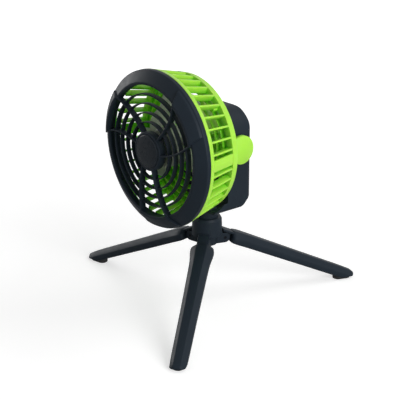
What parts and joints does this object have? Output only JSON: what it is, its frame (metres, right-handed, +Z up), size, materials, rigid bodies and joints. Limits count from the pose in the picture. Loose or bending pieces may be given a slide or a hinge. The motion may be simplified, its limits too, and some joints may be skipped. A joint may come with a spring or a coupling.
{
  "type": "portable camping fan",
  "caption": "Round louvred fan head that tilts on a battery housing, which swivels on a small folding tripod.",
  "frame": {"origin": "on the floor, on the axis of the stand", "axes": "the head blows towards -Y at rest, X is across the head, +Z is up"},
  "size_m": [0.3336, 0.3487, 0.308],
  "materials": {
    "black_plastic": "satin moulded ABS",
    "black_gloss": "smooth moulded ABS",
    "black_rubber": "matt rubber",
    "button_rubber": "soft touch",
    "bush_plastic": "natural acetal",
    "lime_plastic": "semi-gloss moulded ABS",
    "smoke_plastic": "smoke-tinted moulded blades",
    "steel": "zinc plated",
    "black_steel": "black coated",
    "motor_steel": "drawn steel can",
    "brass": "turned",
    "cell_wrap": "shrink sleeve",
    "board": "solder mask",
    "lens": "frosted light pipe"
  },
  "bodies": {
    "stand_hub": {"tripod_hub": "black_plastic", "hub_plug": "black_plastic", "tripod_stud": "steel", "swivel_washer": "black_rubber", "leg_pin_right": "black_steel", "leg_pin_front": "black_steel", "leg_pin_left": "black_steel"},
    "right_leg": {"leg_right": "black_plastic", "foot_pad_right": "black_rubber"},
    "front_leg": {"leg_front": "black_plastic", "foot_pad_front": "black_rubber"},
    "left_leg": {"leg_left": "black_plastic", "foot_pad_left": "black_rubber"},
    "housing": {"neck": "black_plastic", "neck_insert": "brass", "front_shell": "black_plastic", "rear_shell": "black_plastic", "pivot_bush_right": "bush_plastic", "pivot_bush_left": "bush_plastic", "battery_cells": "cell_wrap", "battery_tray": "black_plastic", "circuit_board": "board", "usb_socket": "steel", "indicator_lens": "lens", "housing_screws": "steel"},
    "button": {"power_button": "button_rubber"},
    "head": {"front_grille": "black_plastic", "hub_cap": "black_gloss", "louvre_ring": "lime_plastic", "rear_cover": "lime_plastic", "motor": "motor_steel", "motor_screws": "steel", "cover_screws": "steel", "pivot_washers": "steel", "pivot_screws": "steel"},
    "fan": {"impeller": "smoke_plastic", "motor_shaft": "steel"}
  },
  "joints": [
    {"name": "right_leg_fold", "type": "hinge", "parent": "stand_hub", "child": "right_leg", "pos_m": [0.00735, 0.0202, 0.0815], "axis": [-0.9397, 0.342, 0], "range_deg": [0, 63]},
    {"name": "front_leg_fold", "type": "hinge", "parent": "stand_hub", "child": "front_leg", "pos_m": [0.01382, -0.01647, 0.0815], "axis": [0.766, 0.6428, 0], "range_deg": [0, 63]},
    {"name": "left_leg_fold", "type": "hinge", "parent": "stand_hub", "child": "left_leg", "pos_m": [-0.02117, -0.00373, 0.0815], "axis": [0.1736, -0.9848, 0], "range_deg": [0, 63]},
    {"name": "swivel", "type": "hinge", "parent": "stand_hub", "child": "housing", "pos_m": [0, 0, 0.105], "axis": [0, 0, 1], "continuous": true},
    {"name": "power_press", "type": "slide", "parent": "housing", "child": "button", "axis": [0, -1, 0], "range_m": [0, 0.0012], "stiffness_N_per_m": 900},
    {"name": "tilt", "type": "hinge", "parent": "housing", "child": "head", "pos_m": [0, -0.003, 0.213], "axis": [-1, 0, 0], "range_deg": [0, 30]},
    {"name": "fan_spin", "type": "hinge", "parent": "head", "child": "fan", "pos_m": [0, -0.055, 0.213], "axis": [0, -1, 0], "continuous": true}
  ]
}
